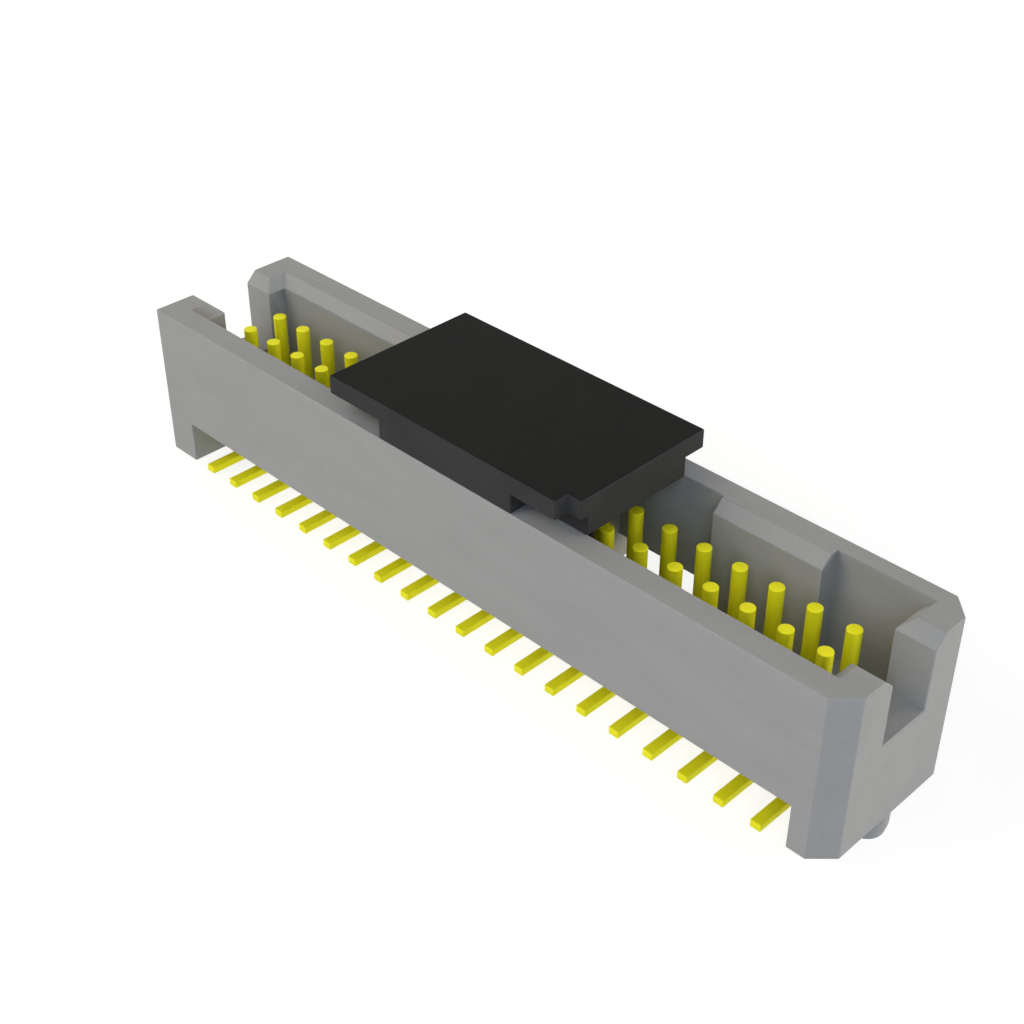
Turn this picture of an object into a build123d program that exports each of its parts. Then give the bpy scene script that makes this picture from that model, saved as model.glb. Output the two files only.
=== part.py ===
from build123d import *

import os

# Shrouded board-to-board header, two rows of twenty round posts at 1.27 mm pitch, surface mounted.
# Millimetres. Origin on the circuit board's surface, midway between the two locating pegs.
# +X runs along the rows to the end with the two cut corners, +Y to the wall with the key recess,
# +Z away from the board.

# Contact grid
positions = 20
pitch = 1.27
row_pitch = 1.27

# One contact: a round post above the floor, a flat tail through it, a foot bent out along the board
post_diameter = 0.45
post_length = 2.873
tail_width = 0.353
tail_thickness = 0.257
tail_bend_radius = 0.25
foot_overhang = 0.065

# Housing walls and floor
end_gap = 0.962
end_wall = 1.261
side_gap = 1.018
side_wall = 1.202
floor_standoff = 1.27
floor_thickness = 0.68
shroud_depth = 3.627
lead_in = 0.377
belly_chamfer = 0.245
corner_chamfer = 0.635

# Finger slots in the two end walls
end_slot_width = 1.90
end_slot_depth = 2.422
end_slot_flare = 0.399

# Key recess at the near end of the back wall, and the pocket beside it with its window to the board
key_recess_length = 2.807
key_recess_depth = 0.651
key_land = 3.81
pocket_length = 3.82
pocket_depth = 0.451
window_height = 1.0

# Locating pegs under the end feet
peg_diameter = 1.26
peg_length = 0.80
peg_tip_chamfer_height = 0.34
peg_tip_diameter = 1.10

# Pick-and-place pad
pad_length = 10.0
pad_width = 5.71
pad_plate = 0.645
pad_rail_height = 0.635
pad_rail_width = 4.17
pad_bridge_length = 5.57
pad_corner_notch = 0.50
pad_leg_length = 1.27
pad_leg_thickness = 0.13
pad_leg_depth = 2.2
pad_leg_inset = 0.225

# Places that follow from the sizes above
row_y = row_pitch / 2
last_contact_x = (positions - 1) * pitch / 2
cavity_half_length = last_contact_x + end_gap
cavity_half_width = row_y + side_gap
half_length = cavity_half_length + end_wall
half_width = cavity_half_width + side_wall
floor_top = floor_standoff + floor_thickness
top = floor_top + shroud_depth
lead_in_start = top - lead_in
end_slot_floor = top - end_slot_depth
foot_tip_y = half_width + foot_overhang
peg_x = half_length - end_wall / 2
key_recess_start = cavity_half_length - key_recess_length
pocket_end = key_recess_start - key_land
pocket_start = pocket_end - pocket_length
pocket_face = cavity_half_width + pocket_depth
rail_top = top + pad_rail_height

os.makedirs("parts", exist_ok=True)

# Housing: one moulding with floor, shroud walls, two end feet and their pegs
with BuildPart() as housing:
    # Block in plan, square at the far end, its two upright corners cut off at the near end
    with BuildSketch(Plane.XY):
        Rectangle(2 * half_length, 2 * half_width)
    extrude(amount=top)
    near_corners = housing.edges().filter_by(Axis.Z).group_by(Axis.X)[-1]
    chamfer(near_corners, corner_chamfer)

    # Cavity for the mating connector, open upwards, with a lead-in round its mouth
    with BuildSketch(Plane.XY.offset(floor_top)):
        Rectangle(2 * cavity_half_length, 2 * cavity_half_width)
    extrude(amount=shroud_depth, mode=Mode.SUBTRACT)
    mouth = housing.faces().sort_by(Axis.Z)[-1].inner_wires()[0]
    chamfer(mouth.edges(), lead_in)

    # Space under the floor, so that the body stands on its two end feet alone
    with BuildSketch(Plane.YZ):
        with BuildLine():
            Polyline(
                (-half_width, 0),
                (-half_width, floor_standoff + belly_chamfer),
                (-half_width + belly_chamfer, floor_standoff),
                (half_width - belly_chamfer, floor_standoff),
                (half_width, floor_standoff + belly_chamfer),
                (half_width, 0),
                close=True,
            )
        make_face()
    extrude(amount=cavity_half_length, both=True, mode=Mode.SUBTRACT)

    # Finger slot through each end wall, flared at the top
    with BuildSketch(Plane.YZ):
        with BuildLine():
            Polyline(
                (-end_slot_width / 2, end_slot_floor),
                (-end_slot_width / 2, lead_in_start),
                (-end_slot_width / 2 - end_slot_flare, top),
                (end_slot_width / 2 + end_slot_flare, top),
                (end_slot_width / 2, lead_in_start),
                (end_slot_width / 2, end_slot_floor),
                close=True,
            )
        make_face()
    extrude(amount=half_length, both=True, mode=Mode.SUBTRACT)

    # Key recess in the back wall, whose end keeps the lead-in of the end wall
    with BuildSketch(Plane.XZ):
        with BuildLine():
            Polyline(
                (key_recess_start, floor_top),
                (key_recess_start, top),
                (cavity_half_length + lead_in, top),
                (cavity_half_length, lead_in_start),
                (cavity_half_length, floor_top),
                close=True,
            )
        make_face()
    extrude(amount=-(cavity_half_width + key_recess_depth), mode=Mode.SUBTRACT)

    # Pocket in the back wall, open down through the floor
    with BuildSketch(Plane.XY.offset(floor_standoff)):
        with BuildLine():
            Polyline(
                (pocket_start, cavity_half_width),
                (pocket_end, cavity_half_width),
                (pocket_end, pocket_face),
                (pocket_start, pocket_face),
                close=True,
            )
        make_face()
    extrude(amount=top - floor_standoff, mode=Mode.SUBTRACT)

    # Window from the pocket out under the back wall
    with BuildSketch(Plane.XY.offset(floor_standoff)):
        with BuildLine():
            Polyline(
                (pocket_start, pocket_face),
                (pocket_end, pocket_face),
                (pocket_end, half_width),
                (pocket_start, half_width),
                close=True,
            )
        make_face()
    extrude(amount=window_height, mode=Mode.SUBTRACT)

    # Through holes that grip the flat tails
    with BuildSketch(Plane.XY.offset(floor_standoff)):
        with GridLocations(pitch, row_pitch, positions, 2):
            Rectangle(tail_width, tail_thickness)
    extrude(amount=floor_thickness, mode=Mode.SUBTRACT)

    # Locating pegs with tapered tips
    with BuildSketch(Plane.XY):
        with GridLocations(2 * peg_x, 0, 2, 1):
            Circle(peg_diameter / 2)
    extrude(amount=-(peg_length - peg_tip_chamfer_height))
    for peg_root_x in (-peg_x, peg_x):
        with BuildSketch(Plane.XY.offset(peg_tip_chamfer_height - peg_length)):
            with Locations((peg_root_x, 0)):
                Circle(peg_diameter / 2)
        with BuildSketch(Plane.XY.offset(-peg_length)):
            with Locations((peg_root_x, 0)):
                Circle(peg_tip_diameter / 2)
        loft()

housing.part.label = "housing"
export_step(housing.part, "parts/housing.step")

# Contacts: front row on the -Y side, back row on the +Y side, numbered from the square far end
for row_name, side in (("front", -1), ("back", 1)):
    for number in range(1, positions + 1):
        contact_x = (number - 1) * pitch - last_contact_x
        tail_plane = Plane(
            origin=(contact_x, side * row_y, 0),
            x_dir=(0, side, 0),
            z_dir=(side, 0, 0),
        )
        with BuildPart() as contact:
            with BuildSketch(tail_plane):
                with BuildLine():
                    Polyline(
                        (-tail_thickness / 2, floor_top),
                        (-tail_thickness / 2, 0),
                        (foot_tip_y - row_y, 0),
                        (foot_tip_y - row_y, tail_thickness),
                        (tail_thickness / 2, tail_thickness),
                        (tail_thickness / 2, floor_top),
                        close=True,
                    )
                make_face()
                heel = vertices().group_by(Axis.Y)[0].sort_by(Axis.X)[0]
                fillet(heel, tail_bend_radius)
            extrude(amount=tail_width / 2, both=True)
            with BuildSketch(Plane.XY.offset(floor_top)):
                with Locations((contact_x, side * row_y)):
                    Circle(post_diameter / 2)
            extrude(amount=post_length)

        contact.part.label = f"contact_{row_name}_{number:02d}"
        export_step(contact.part, f"parts/{contact.part.label}.step")

# Pick-and-place pad: a plate on a lower rail that spans the mouth, with a wider bridge in the middle
with BuildPart() as pad:
    with BuildSketch(Plane.XY.offset(top)):
        Rectangle(pad_length, pad_rail_width)
        Rectangle(pad_bridge_length, pad_width)
    extrude(amount=pad_rail_height)

    # Plate, with a square bite out of its near front corner
    with BuildSketch(Plane.XY.offset(rail_top)):
        Rectangle(pad_length, pad_width)
        with Locations((pad_length / 2, -pad_width / 2)):
            Rectangle(2 * pad_corner_notch, 2 * pad_corner_notch, mode=Mode.SUBTRACT)
    extrude(amount=pad_plate)

    # Two thin legs at opposite corners, which rub on the faces of the long walls
    leg_x = pad_length / 2 - pad_leg_inset - pad_leg_length / 2
    leg_y = cavity_half_width - pad_leg_thickness / 2
    with BuildSketch(Plane.XY.offset(top)):
        with Locations((leg_x, -leg_y), (-leg_x, leg_y)):
            Rectangle(pad_leg_length, pad_leg_thickness)
    extrude(amount=-pad_leg_depth)

pad.part.label = "pick_and_place_pad"
export_step(pad.part, "parts/pick_and_place_pad.step")
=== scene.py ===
import math

import bmesh
import bpy
from mathutils import Matrix, Vector


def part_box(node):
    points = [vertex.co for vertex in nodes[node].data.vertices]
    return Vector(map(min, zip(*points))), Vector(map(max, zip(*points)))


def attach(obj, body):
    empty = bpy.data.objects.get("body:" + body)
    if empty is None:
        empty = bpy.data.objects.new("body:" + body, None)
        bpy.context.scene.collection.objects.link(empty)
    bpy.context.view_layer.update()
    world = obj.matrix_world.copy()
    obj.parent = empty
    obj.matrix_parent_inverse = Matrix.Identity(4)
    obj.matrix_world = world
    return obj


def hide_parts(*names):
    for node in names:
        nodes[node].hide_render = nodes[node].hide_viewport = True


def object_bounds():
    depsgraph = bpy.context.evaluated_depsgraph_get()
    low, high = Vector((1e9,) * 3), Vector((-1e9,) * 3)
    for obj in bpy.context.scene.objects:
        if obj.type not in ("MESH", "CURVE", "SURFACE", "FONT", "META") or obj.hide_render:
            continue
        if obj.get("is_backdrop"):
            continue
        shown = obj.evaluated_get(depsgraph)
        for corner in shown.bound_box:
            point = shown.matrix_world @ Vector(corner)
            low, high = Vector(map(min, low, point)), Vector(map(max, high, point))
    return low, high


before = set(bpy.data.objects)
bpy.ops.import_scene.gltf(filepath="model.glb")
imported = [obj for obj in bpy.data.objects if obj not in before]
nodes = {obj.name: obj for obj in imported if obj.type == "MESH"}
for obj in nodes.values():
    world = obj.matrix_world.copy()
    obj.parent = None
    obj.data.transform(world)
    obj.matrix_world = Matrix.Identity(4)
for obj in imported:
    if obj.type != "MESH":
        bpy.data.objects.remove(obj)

# The looks of a shrouded two-row board-to-board header: a grey moulded shroud, forty gold-plated
# contacts and a black pick-up pad laid on the walls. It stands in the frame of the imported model, in
# metres: +X along the rows to the end with the two cut corners, +Y to the wall with the key recess,
# +Z away from the board. Sizes in capitals are in millimetres where nothing else is said.
MM = 0.001
cad_low, cad_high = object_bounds()

# Places of the contacts. The two rows stand as far apart as the posts of one row.
first_low, first_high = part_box("contact_front_01")
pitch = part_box("contact_front_02")[0].x - first_low.x
front_row_y = -pitch / 2
last_contact_x = -(first_low.x + first_high.x) / 2

# Radii of the rounded edges
HOUSING_EDGE_RADIUS = 0.05
PAD_EDGE_RADIUS = 0.06
PEG_EDGE_RADIUS = 0.03
POST_RIM_RADIUS = 0.015
TAIL_EDGE_RADIUS = 0.015

# The post stands on the floor of the cavity. The flat tail below it has its root sunk in the post.
FLOOR_TOP = 1.95
POST_DIAMETER = 0.45
TAIL_ROOT = 0.10
TAIL_WIDTH = 0.353
TAIL_THICKNESS = 0.257
BEND_INNER_RADIUS = 0.10

# Locating pegs. Each has its root sunk in a foot at the end of the housing and is as wide as that
# foot. It is straight at first and then tapered.
HOUSING_LENGTH = 28.575
PEG_DIAMETER = 1.26
PEG_X = (HOUSING_LENGTH - PEG_DIAMETER) / 2
PEG_TIP_DIAMETER = 1.10
PEG_STRAIGHT = 0.46
PEG_ROOT = 0.10

# Points this close count as one
SNAP = 0.001
# An edge this close to the outline of a tail hole belongs to the hole
HOLE_MARGIN = 0.015
# A face this close below the pad's highest point belongs to its top, which is smoother and painted darker
# as shade
PAD_TOP_REACH = 0.01
# A face looks straight up or down if its normal's height is past this
FACING = 0.9

# How finely round forms are divided
PEG_SIDES = 48
POST_SIDES = 40
BEND_STEPS = 8
EDGE_STEPS = 3
TAIL_EDGE_STEPS = 2

# Angles are in degrees. Faces that meet at less than this one are merged.
FLAT_ANGLE = 0.5
# Outer edges sharper than this are rounded
MOULDED_CREASE_ANGLE = 20
TAIL_CREASE_ANGLE = 40
# Edges sharper than this look sharp, and shading runs on over the others
MOULDED_SMOOTH_ANGLE = 40
CONTACT_SMOOTH_ANGLE = 35


# Camera

# Solved from the photo: place, line of sight, and a lens for a 36 mm sensor
CAMERA_PLACE = (29.085, -29.038, 31.914)
CAMERA_FORWARD = (-0.57783, 0.57683, -0.57738)
CAMERA_LENS = 57.19
SENSOR_WIDTH = 36.0
CLIP_START = 1.0
CLIP_END = 5000.0

camera_data = bpy.data.cameras.new("photo_camera")
camera_data.sensor_width = SENSOR_WIDTH
camera_data.lens = CAMERA_LENS
camera_data.clip_start = CLIP_START * MM
camera_data.clip_end = CLIP_END * MM
camera = bpy.data.objects.new("photo_camera", camera_data)
camera.location = Vector(CAMERA_PLACE) * MM
camera.rotation_mode = "QUATERNION"
camera.rotation_quaternion = Vector(CAMERA_FORWARD).to_track_quat("-Z", "Y")
bpy.context.scene.collection.objects.link(camera)
bpy.context.scene.camera = camera
bpy.context.scene.view_settings.view_transform = "Standard"


# Materials

# Sizes of the patterns
FLOW_MARK_WIDTH = 0.8
FIBRE_SPECK = 0.11
MOULD_GRIT = 0.06
DRAWING_LINE = 0.05
PLATING_CLOUD = 0.9
NYLON_GRIT = 0.08
COOLING_CLOUD = 2.0
PULP_CLOUD = 4.0

# Width of a flow mark and of a drawing line, as a share of its length
FLOW_MARK_SLIMNESS = 0.27
DRAWING_LINE_SLIMNESS = 0.03

# Depth of the relief
PLASTIC_RELIEF = 0.006
PLATING_RELIEF = 0.002

# The span of a noise texture that each kind of pattern uses: grain nearly all of it, clouds its
# middle, and specks only its peaks
GRAIN = {"From Min": 0.3, "From Max": 0.7}
CLOUDS = {"From Min": 0.35, "From Max": 0.65}
SPECKS = {"From Min": 0.62, "From Max": 0.78}

# A Mix node's sockets, by number, because several have the same name
FACTOR = 0
NUMBER_A = 2
NUMBER_B = 3
COLOUR_A = 6
COLOUR_B = 7
MIXED_COLOUR = 2


def linear(code):
    """A colour written as sRGB hex, as the linear red, green, blue and alpha that the shaders take."""
    channels = [int(code[i:i + 2], 16) / 255 for i in (1, 3, 5)]
    bent = [c / 12.92 if c <= 0.04045 else ((c + 0.055) / 1.055) ** 2.4 for c in channels]
    return (*bent, 1.0)


def add(tree, kind, inputs=None, **settings):
    """Adds one node. Settings are its own properties, and inputs its sockets' values or links."""
    made = tree.nodes.new(kind)
    for name, value in settings.items():
        setattr(made, name, value)
    for socket, value in (inputs or {}).items():
        if isinstance(value, bpy.types.NodeSocket):
            tree.links.new(value, made.inputs[socket])
        else:
            made.inputs[socket].default_value = value
    return made


def new_material(name):
    """An empty node material: itself, its tree, and the surface socket of its output."""
    made = bpy.data.materials.new(name)
    made.use_nodes = True
    made.node_tree.nodes.clear()
    output = add(made.node_tree, "ShaderNodeOutputMaterial")
    return made, made.node_tree, output.inputs["Surface"]


def shrink(size):
    """The texture scale that draws one cell or wave of a pattern at that size, in millimetres."""
    return 1 / (size * MM)


def glass_filled_lcp():
    """Grey liquid-crystal polymer with glass fibre, injection moulded in a spark-eroded cavity.

    It gives an even, matt mid grey with faint clouds and pale specks, and no clear highlight."""
    made, tree, surface = new_material("glass_filled_lcp_moulded")
    place = add(tree, "ShaderNodeTexCoord").outputs["Object"]
    # Faint flow marks along the rows, about 3 mm long.
    along = add(tree, "ShaderNodeMapping",
                {"Vector": place, "Scale": (FLOW_MARK_SLIMNESS, 1.0, 1.0)})
    flow = add(tree, "ShaderNodeTexNoise",
               {"Vector": along.outputs["Vector"], "Scale": shrink(FLOW_MARK_WIDTH),
                "Detail": 3.0})
    flow_shade = add(tree, "ShaderNodeMapRange", {"Value": flow.outputs["Fac"], **GRAIN})
    body = add(tree, "ShaderNodeMix",
               {FACTOR: flow_shade.outputs["Result"],
                COLOUR_A: linear("#969695"), COLOUR_B: linear("#9B9B9A")},
               data_type="RGBA")
    # Short glass fibres under the skin, drawn as coarse specks: real ones are 0.01 mm across and
    # would not show at this scale.
    fibre = add(tree, "ShaderNodeTexNoise",
                {"Vector": place, "Scale": shrink(FIBRE_SPECK), "Detail": 2.0, "Roughness": 0.6})
    speck = add(tree, "ShaderNodeMapRange",
                {"Value": fibre.outputs["Fac"], **SPECKS, "To Min": 0.0, "To Max": 0.5})
    colour = add(tree, "ShaderNodeMix",
                 {FACTOR: speck.outputs["Result"],
                  COLOUR_A: body.outputs[MIXED_COLOUR], COLOUR_B: linear("#ACACAA")},
                 data_type="RGBA")
    # The mould's eroded texture roughens the gloss and lifts the skin.
    grit = add(tree, "ShaderNodeTexNoise",
               {"Vector": place, "Scale": shrink(MOULD_GRIT), "Detail": 2.0, "Roughness": 0.7})
    matt = add(tree, "ShaderNodeMapRange",
               {"Value": grit.outputs["Fac"], **GRAIN, "To Min": 0.50, "To Max": 0.62})
    relief = add(tree, "ShaderNodeBump",
                 {"Height": grit.outputs["Fac"], "Strength": 0.35,
                  "Distance": PLASTIC_RELIEF * MM})
    shader = add(tree, "ShaderNodeBsdfPrincipled",
                 {"Base Color": colour.outputs[MIXED_COLOUR], "Roughness": matt.outputs["Result"],
                  "IOR": 1.55, "Metallic": 0.0, "Normal": relief.outputs["Normal"]})
    tree.links.new(shader.outputs["BSDF"], surface)
    return made


def gold_plate():
    """Gold over nickel on drawn and coined copper alloy.

    It gives a strong yellow with a satin sheen. Its metallic is matched to the photo: at 1 the
    posts would mirror the dark cavity and lose their colour."""
    made, tree, surface = new_material("gold_plated_copper_alloy")
    place = add(tree, "ShaderNodeTexCoord").outputs["Object"]
    # Drawing lines follow the post and are over a millimetre long.
    along = add(tree, "ShaderNodeMapping",
                {"Vector": place, "Scale": (1.0, 1.0, DRAWING_LINE_SLIMNESS)})
    lines = add(tree, "ShaderNodeTexNoise",
                {"Vector": along.outputs["Vector"], "Scale": shrink(DRAWING_LINE),
                 "Detail": 2.0})
    satin = add(tree, "ShaderNodeMapRange",
                {"Value": lines.outputs["Fac"], **GRAIN, "To Min": 0.56, "To Max": 0.68})
    relief = add(tree, "ShaderNodeBump",
                 {"Height": lines.outputs["Fac"], "Strength": 0.2,
                  "Distance": PLATING_RELIEF * MM})
    # The plating's thickness wanders and warms its colour.
    cloud = add(tree, "ShaderNodeTexNoise",
                {"Vector": place, "Scale": shrink(PLATING_CLOUD), "Detail": 2.0})
    cloud_shade = add(tree, "ShaderNodeMapRange", {"Value": cloud.outputs["Fac"], **CLOUDS})
    colour = add(tree, "ShaderNodeMix",
                 {FACTOR: cloud_shade.outputs["Result"],
                  COLOUR_A: linear("#E6E210"), COLOUR_B: linear("#EDE81A")},
                 data_type="RGBA")
    shader = add(tree, "ShaderNodeBsdfPrincipled",
                 {"Base Color": colour.outputs[MIXED_COLOUR], "Roughness": satin.outputs["Result"],
                  "Metallic": 0.55, "Normal": relief.outputs["Normal"]})
    tree.links.new(shader.outputs["BSDF"], surface)
    return made


def black_nylon(name, deep, pale, matt_low, matt_high, gloss):
    """Black nylon, injection moulded. It takes in most light and gives back only a dull grey gloss."""
    made, tree, surface = new_material(name)
    place = add(tree, "ShaderNodeTexCoord").outputs["Object"]
    # Clouds from uneven cooling.
    cloud = add(tree, "ShaderNodeTexNoise",
                {"Vector": place, "Scale": shrink(COOLING_CLOUD), "Detail": 2.0})
    cloud_shade = add(tree, "ShaderNodeMapRange", {"Value": cloud.outputs["Fac"], **CLOUDS})
    colour = add(tree, "ShaderNodeMix",
                 {FACTOR: cloud_shade.outputs["Result"],
                  COLOUR_A: linear(deep), COLOUR_B: linear(pale)},
                 data_type="RGBA")
    # The grit of the moulded skin.
    grit = add(tree, "ShaderNodeTexNoise",
               {"Vector": place, "Scale": shrink(NYLON_GRIT), "Detail": 2.0, "Roughness": 0.65})
    matt = add(tree, "ShaderNodeMapRange",
               {"Value": grit.outputs["Fac"], **GRAIN, "To Min": matt_low, "To Max": matt_high})
    relief = add(tree, "ShaderNodeBump",
                 {"Height": grit.outputs["Fac"], "Strength": 0.4,
                  "Distance": PLASTIC_RELIEF * MM})
    shader = add(tree, "ShaderNodeBsdfPrincipled",
                 {"Base Color": colour.outputs[MIXED_COLOUR], "Roughness": matt.outputs["Result"],
                  "IOR": 1.53, "Metallic": 0.0, "Specular IOR Level": gloss,
                  "Normal": relief.outputs["Normal"]})
    tree.links.new(shader.outputs["BSDF"], surface)
    return made


HOUSING_PLASTIC = glass_filled_lcp()
CONTACT_PLATING = gold_plate()
# The pad's broad top is smooth for the nozzle's cup, and its black is painted darker as shade.
# Its other faces keep the eroded texture of the mould and are painted a lighter dark grey, as light
# falling on the sides: lit and shaded copies of one black. Neither shines, so both have little gloss.
PAD_TOP_PAINTED_SHADE = black_nylon("black_nylon_top_painted_shade", "#0F0F0E", "#131312",
                      matt_low=0.58, matt_high=0.68, gloss=0.08)
PAD_SIDES_PAINTED_LIGHT = black_nylon("black_nylon_sides_painted_light", "#353535", "#3A3A3A",
                        matt_low=0.70, matt_high=0.80, gloss=0.10)


# Modelling helpers
def deselect_all():
    """Leaves edit mode and selects nothing, so that the next operator acts on its own piece alone."""
    if bpy.context.object and bpy.context.object.mode != "OBJECT":
        bpy.ops.object.mode_set(mode="OBJECT")
    bpy.ops.object.select_all(action="DESELECT")


def pick(piece):
    """Makes one object the only selected and active one."""
    deselect_all()
    piece.select_set(True)
    bpy.context.view_layer.objects.active = piece


def edit_select(piece, kind, wanted):
    """In edit mode, selects exactly the vertices, edges or faces of piece for which wanted is true."""
    mesh = bmesh.from_edit_mesh(piece.data)
    for group in (mesh.verts, mesh.edges, mesh.faces):
        for element in group:
            element.select = False
    for element in getattr(mesh, kind):
        if wanted(element):
            element.select_set(True)
    bmesh.update_edit_mesh(piece.data)


def merge_flat_faces():
    """In edit mode, makes flat faces that were cut into triangles whole again."""
    bpy.ops.mesh.select_all(action="SELECT")
    bpy.ops.mesh.dissolve_limited(angle_limit=math.radians(FLAT_ANGLE))


def apply_modifier(piece, kind, **settings):
    """Adds a modifier with its settings and applies it."""
    pick(piece)
    modifier = piece.modifiers.new(kind.lower(), kind)
    for name, value in settings.items():
        setattr(modifier, name, value)
    bpy.ops.object.modifier_apply(modifier=modifier.name)


def settle(piece):
    """Puts the piece's place into its mesh, so that its object stands at the origin, unturned."""
    pick(piece)
    bpy.ops.object.transform_apply(location=True, rotation=True, scale=True)


def refined_copy(node_name, piece_name):
    """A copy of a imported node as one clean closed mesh."""
    piece = bpy.data.objects.new(piece_name, nodes[node_name].data.copy())
    piece.data.materials.clear()
    bpy.context.scene.collection.objects.link(piece)
    pick(piece)
    bpy.ops.object.mode_set(mode="EDIT")
    bpy.ops.mesh.select_all(action="SELECT")
    bpy.ops.mesh.remove_doubles(threshold=SNAP * MM)
    merge_flat_faces()
    bpy.ops.object.mode_set(mode="OBJECT")
    return piece


def outer_edge(edge):
    """True for a crease that stands out between two faces. Inner corners stay sharp and read dark."""
    return (len(edge.link_faces) == 2 and edge.is_convex
            and edge.calc_face_angle() > math.radians(MOULDED_CREASE_ANGLE))


def round_edges(piece, radius, wanted):
    """Rounds the edges of piece for which wanted is true."""
    pick(piece)
    bpy.ops.object.mode_set(mode="EDIT")
    edit_select(piece, "edges", wanted)
    bpy.ops.mesh.bevel(offset=radius * MM, segments=EDGE_STEPS, profile=0.5,
                       offset_type="OFFSET", clamp_overlap=True)
    bpy.ops.object.mode_set(mode="OBJECT")


def smooth(piece, degrees):
    """Smooth shading over the rounded edges, flat on the broad faces."""
    pick(piece)
    bpy.ops.object.shade_smooth_by_angle(angle=math.radians(degrees))
    apply_modifier(piece, "WEIGHTED_NORMAL", weight=100, keep_sharp=True)


def finish_piece(piece, materials, slot_name, *node_names):
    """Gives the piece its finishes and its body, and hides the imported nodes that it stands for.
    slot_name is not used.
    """
    piece.data.materials.clear()
    for material in materials:
        piece.data.materials.append(material)
    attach(piece, "root")
    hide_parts(*node_names)


# Housing
def at_tail_hole(edge):
    """True for the edges of the forty holes that grip the tails, which stay sharp."""
    reach_x = last_contact_x + (TAIL_WIDTH / 2 + HOLE_MARGIN) * MM
    reach_y = (TAIL_THICKNESS / 2 + HOLE_MARGIN) * MM
    return all(abs(v.co.x) < reach_x and abs(abs(v.co.y) + front_row_y) < reach_y
               for v in edge.verts)


def cut_pegs(piece):
    """Takes the pegs off the feet and closes the feet's undersides, before the edges are rounded."""
    pick(piece)
    bpy.ops.object.mode_set(mode="EDIT")
    edit_select(piece, "faces", lambda f: any(v.co.z < -SNAP * MM for v in f.verts))
    bpy.ops.mesh.delete(type="FACE")
    bpy.ops.mesh.select_all(action="SELECT")
    bpy.ops.mesh.fill_holes(sides=0)
    merge_flat_faces()
    bpy.ops.object.mode_set(mode="OBJECT")


def moulded_peg(peg_x):
    """A locating peg with a tapered tip, its root sunk in the foot that carries it."""
    deselect_all()
    bpy.ops.mesh.primitive_cylinder_add(
        vertices=PEG_SIDES, radius=PEG_DIAMETER / 2 * MM, depth=(PEG_ROOT + PEG_STRAIGHT) * MM,
        location=(peg_x, 0, (PEG_ROOT - PEG_STRAIGHT) / 2 * MM))
    peg = bpy.context.object
    settle(peg)
    taper = cad_low.z + PEG_STRAIGHT * MM
    tip_share = PEG_TIP_DIAMETER / PEG_DIAMETER
    bpy.ops.object.mode_set(mode="EDIT")
    edit_select(peg, "faces", lambda f: f.normal.z < -FACING)
    bpy.ops.mesh.extrude_region_move(TRANSFORM_OT_translate={"value": (0, 0, taper)})
    bpy.ops.transform.resize(value=(tip_share, tip_share, 1),
                             center_override=(peg_x, 0, cad_low.z))
    bpy.ops.object.mode_set(mode="OBJECT")
    rings = (-PEG_STRAIGHT * MM, cad_low.z)
    round_edges(peg, PEG_EDGE_RADIUS,
                lambda e: any(all(abs(v.co.z - ring) < SNAP * MM for v in e.verts)
                              for ring in rings))
    return peg


housing = refined_copy("housing", "moulded_housing")
cut_pegs(housing)
round_edges(housing, HOUSING_EDGE_RADIUS, lambda e: outer_edge(e) and not at_tail_hole(e))
for peg_x in (-PEG_X * MM, PEG_X * MM):
    peg = moulded_peg(peg_x)
    apply_modifier(housing, "BOOLEAN", operation="UNION", object=peg, solver="EXACT")
    bpy.data.objects.remove(peg)
smooth(housing, MOULDED_SMOOTH_ANGLE)
finish_piece(housing, [HOUSING_PLASTIC], "housing_plastic", "housing")


# Pick-up pad
pad = refined_copy("pick_and_place_pad", "moulded_pad")
round_edges(pad, PAD_EDGE_RADIUS, outer_edge)
smooth(pad, MOULDED_SMOOTH_ANGLE)
pad_lit_and_shaded_blacks = [PAD_SIDES_PAINTED_LIGHT, PAD_TOP_PAINTED_SHADE]
finish_piece(pad, pad_lit_and_shaded_blacks, "pad_plastic", "pick_and_place_pad")
# The top faces get the darker copy of the black, which is painted shade
for face in pad.data.polygons:
    if face.normal.z > FACING and face.center.z > cad_high.z - PAD_TOP_REACH * MM:
        face.material_index = pad_lit_and_shaded_blacks.index(PAD_TOP_PAINTED_SHADE)


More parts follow.
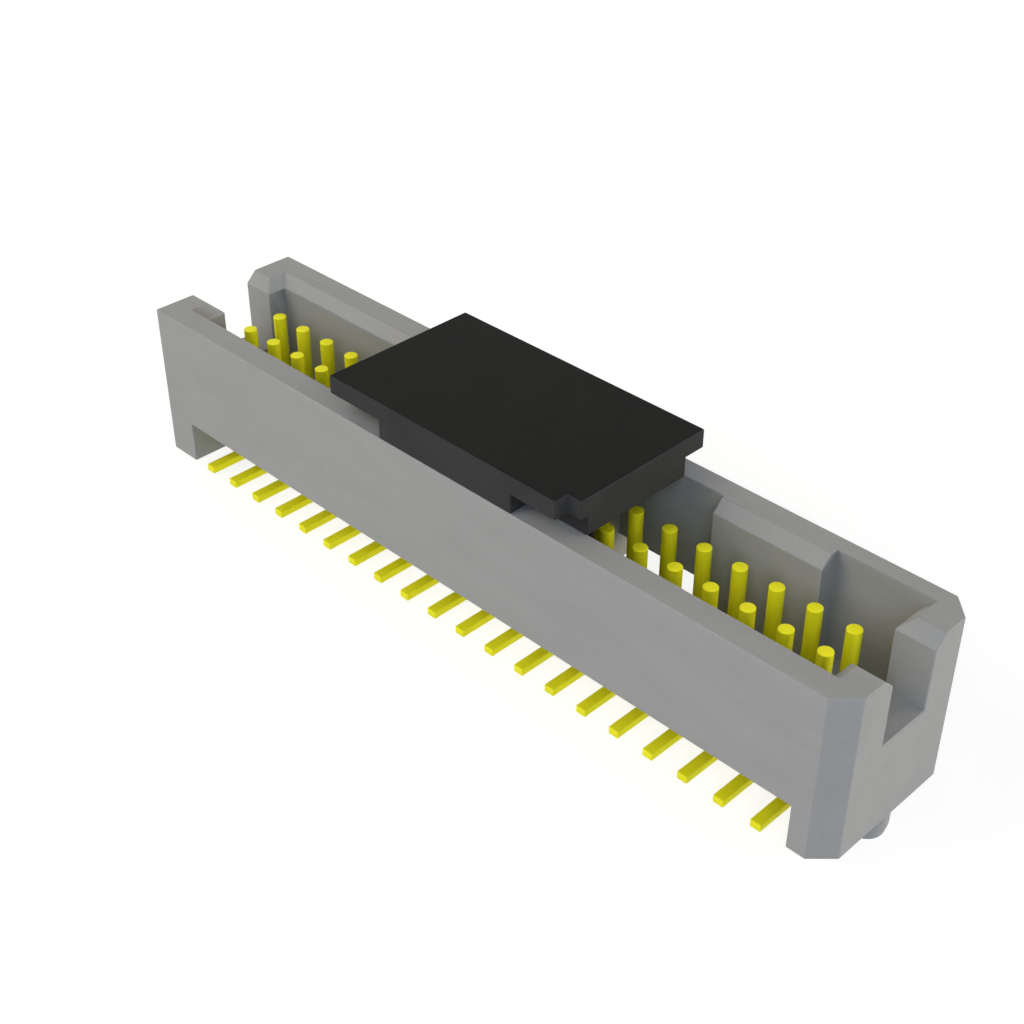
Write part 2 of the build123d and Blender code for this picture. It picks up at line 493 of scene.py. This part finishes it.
# Contacts
def model_contact(post_top, foot_tip_y):
    """A contact of the front row with its post on the Z axis: round post, flat tail, bend and foot."""
    floor_top = FLOOR_TOP * MM
    post_length = post_top - floor_top
    deselect_all()
    bpy.ops.mesh.primitive_cylinder_add(
        vertices=POST_SIDES, radius=POST_DIAMETER / 2 * MM, depth=post_length,
        location=(0, 0, floor_top + post_length / 2))
    post = bpy.context.object
    settle(post)
    round_edges(post, POST_RIM_RADIUS,
                lambda e: all(v.co.z > post_top - SNAP * MM for v in e.verts))

    thickness = TAIL_THICKNESS * MM
    tail_top = floor_top + TAIL_ROOT * MM
    bend_y = -thickness / 2 - BEND_INNER_RADIUS * MM
    bend_z = thickness + BEND_INNER_RADIUS * MM
    deselect_all()
    bpy.ops.mesh.primitive_cube_add(size=1, location=(0, 0, (tail_top + bend_z) / 2))
    tail = bpy.context.object
    tail.scale = (TAIL_WIDTH * MM, thickness, tail_top - bend_z)
    settle(tail)
    bpy.ops.object.mode_set(mode="EDIT")
    edit_select(tail, "faces", lambda f: f.normal.z < -FACING)
    bpy.ops.mesh.spin(steps=BEND_STEPS, angle=math.radians(90),
                      center=(0, bend_y, bend_z), axis=(1, 0, 0))
    bpy.ops.mesh.extrude_region_move(
        TRANSFORM_OT_translate={"value": (0, foot_tip_y - bend_y, 0)})
    bpy.ops.object.mode_set(mode="OBJECT")
    apply_modifier(tail, "BEVEL", width=TAIL_EDGE_RADIUS * MM, segments=TAIL_EDGE_STEPS,
                   limit_method="ANGLE", angle_limit=math.radians(TAIL_CREASE_ANGLE))
    apply_modifier(post, "BOOLEAN", operation="UNION", object=tail, solver="EXACT")
    bpy.data.objects.remove(tail)
    return post


pattern = model_contact(first_high.z, first_low.y - front_row_y)
smooth(pattern, CONTACT_SMOOTH_ANGLE)
half_turn = Matrix.Rotation(math.pi, 4, "Z")
for name in sorted(n for n in nodes if n.startswith("contact_")):
    low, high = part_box(name)
    in_back_row = name.startswith("contact_back_")
    turned = half_turn if in_back_row else Matrix.Identity(4)
    row_y = -front_row_y if in_back_row else front_row_y
    contact = bpy.data.objects.new("plated_" + name, pattern.data.copy())
    contact.data.transform(Matrix.Translation(((low.x + high.x) / 2, row_y, 0)) @ turned)
    bpy.context.scene.collection.objects.link(contact)
    finish_piece(contact, [CONTACT_PLATING], "contact_metal", name)
bpy.data.objects.remove(pattern)


# Floor, backdrop and lights

# The floor is a wide disc just under the tips of the pegs
FLOOR_RADIUS = 4000.0
FLOOR_GAP = 0.002
FLOOR_SIDES = 64

# To the eye, a share of the paper is a plain glow that makes unshaded paper white, and the rest is
# lit paper with its shadow.
GLOW_SHARE = 0.55
GLOW_STRENGTH = 1.42
# Both go over to 1, which is plain white, between these distances from the part's middle
SHADOW_REACH = 30.0
PLAIN_WHITE = 120.0

# Strength of the sky's light. It is weaker overhead, so that the tops stay darker than the walls.
SKY_HORIZON = 0.25
SKY_ZENITH = 0.06

# Softboxes: a name, the direction from the part, the power in watts and the colour. The left one
# lights the front wall, the right one the near end, the bluish one at the camera the cavity, and
# the weak back and far ones the sides that the camera doesn't see.
SOFTBOX_DISTANCE = 250.0
SOFTBOX_SIZE = 180.0
SOFTBOXES = (
    ("softbox_left", (-0.48, -0.69, 0.54), 0.32, "#FFF6E2"),
    ("softbox_right", (0.72, 0.65, 0.24), 0.37, "#FFF6E2"),
    ("softbox_camera", (0.58, -0.58, 0.57), 0.28, "#D2E2FF"),
    ("softbox_back", (0.09, 0.97, 0.21), 0.11, "#FFF6E2"),
    ("softbox_far", (-0.98, 0.0, 0.21), 0.11, "#FFF6E2"),
)


def seen_ray(tree):
    """1 for a ray from the camera, off a glossy face or through glass, and 0 for one that lights."""
    ray = add(tree, "ShaderNodeLightPath").outputs
    eye = add(tree, "ShaderNodeMath", {0: ray["Is Camera Ray"], 1: ray["Is Glossy Ray"]},
              operation="MAXIMUM")
    return add(tree, "ShaderNodeMath", {0: eye.outputs[0], 1: ray["Is Transmission Ray"]},
               operation="MAXIMUM").outputs[0]


def white_paper():
    """Matt white paper that keeps a soft shadow and is plain white to the eye where nothing shades it."""
    made, tree, surface = new_material("white_paper")
    place = add(tree, "ShaderNodeTexCoord").outputs["Object"]
    # Faint clouds of pulp.
    pulp = add(tree, "ShaderNodeTexNoise",
               {"Vector": place, "Scale": shrink(PULP_CLOUD), "Detail": 2.0})
    tone = add(tree, "ShaderNodeMix",
               {FACTOR: pulp.outputs["Fac"],
                COLOUR_A: linear("#E8E8E8"), COLOUR_B: linear("#ECECEC")},
               data_type="RGBA")
    paper = add(tree, "ShaderNodeBsdfDiffuse", {"Color": tone.outputs[MIXED_COLOUR]})
    # The glow, and how it goes over to plain white with the distance from the part.
    reach = add(tree, "ShaderNodeVectorMath", {0: place}, operation="LENGTH").outputs["Value"]
    span = {"Value": reach, "From Min": SHADOW_REACH * MM, "From Max": PLAIN_WHITE * MM}
    share = add(tree, "ShaderNodeMapRange", {**span, "To Min": GLOW_SHARE, "To Max": 1.0})
    strength = add(tree, "ShaderNodeMapRange", {**span, "To Min": GLOW_STRENGTH, "To Max": 1.0})
    glow = add(tree, "ShaderNodeEmission",
               {"Color": (1, 1, 1, 1), "Strength": strength.outputs["Result"]})
    lift = add(tree, "ShaderNodeMath", {0: seen_ray(tree), 1: share.outputs["Result"]},
               operation="MULTIPLY")
    both = add(tree, "ShaderNodeMixShader",
               {0: lift.outputs[0], 1: paper.outputs[0], 2: glow.outputs[0]})
    tree.links.new(both.outputs[0], surface)
    return made


deselect_all()
bpy.ops.mesh.primitive_circle_add(
    vertices=FLOOR_SIDES, radius=FLOOR_RADIUS * MM, fill_type="NGON",
    location=(0, 0, cad_low.z - FLOOR_GAP * MM))
paper_floor = bpy.context.object
paper_floor.name = "paper_floor"
paper_floor.data.materials.append(white_paper())
paper_floor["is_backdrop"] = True

world = bpy.data.worlds.new("studio")
bpy.context.scene.world = world
world.use_nodes = True
air = world.node_tree
air.nodes.clear()
# In the world, Generated is the direction of the ray.
direction = add(air, "ShaderNodeTexCoord").outputs["Generated"]
height = add(air, "ShaderNodeSeparateXYZ", {0: direction}).outputs["Z"]
dome = add(air, "ShaderNodeMapRange",
           {"Value": height, "To Min": SKY_HORIZON, "To Max": SKY_ZENITH})
level = add(air, "ShaderNodeMix",
            {FACTOR: seen_ray(air), NUMBER_A: dome.outputs["Result"], NUMBER_B: 1.0})
sky = add(air, "ShaderNodeBackground", {"Color": (1, 1, 1, 1), "Strength": level.outputs[0]})
add(air, "ShaderNodeOutputWorld", {"Surface": sky.outputs[0]})


def softbox(name, direction, power, colour):
    """A square soft lamp that looks at the middle of the part from that direction."""
    data = bpy.data.lights.new(name, "AREA")
    data.shape = "SQUARE"
    data.size = SOFTBOX_SIZE * MM
    data.energy = power
    data.color = linear(colour)[:3]
    lamp = bpy.data.objects.new(name, data)
    away = Vector(direction).normalized()
    lamp.location = (cad_low + cad_high) / 2 + away * SOFTBOX_DISTANCE * MM
    lamp.rotation_mode = "QUATERNION"
    lamp.rotation_quaternion = (-away).to_track_quat("-Z", "Y")
    bpy.context.scene.collection.objects.link(lamp)


for softbox_settings in SOFTBOXES:
    softbox(*softbox_settings)


low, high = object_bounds()
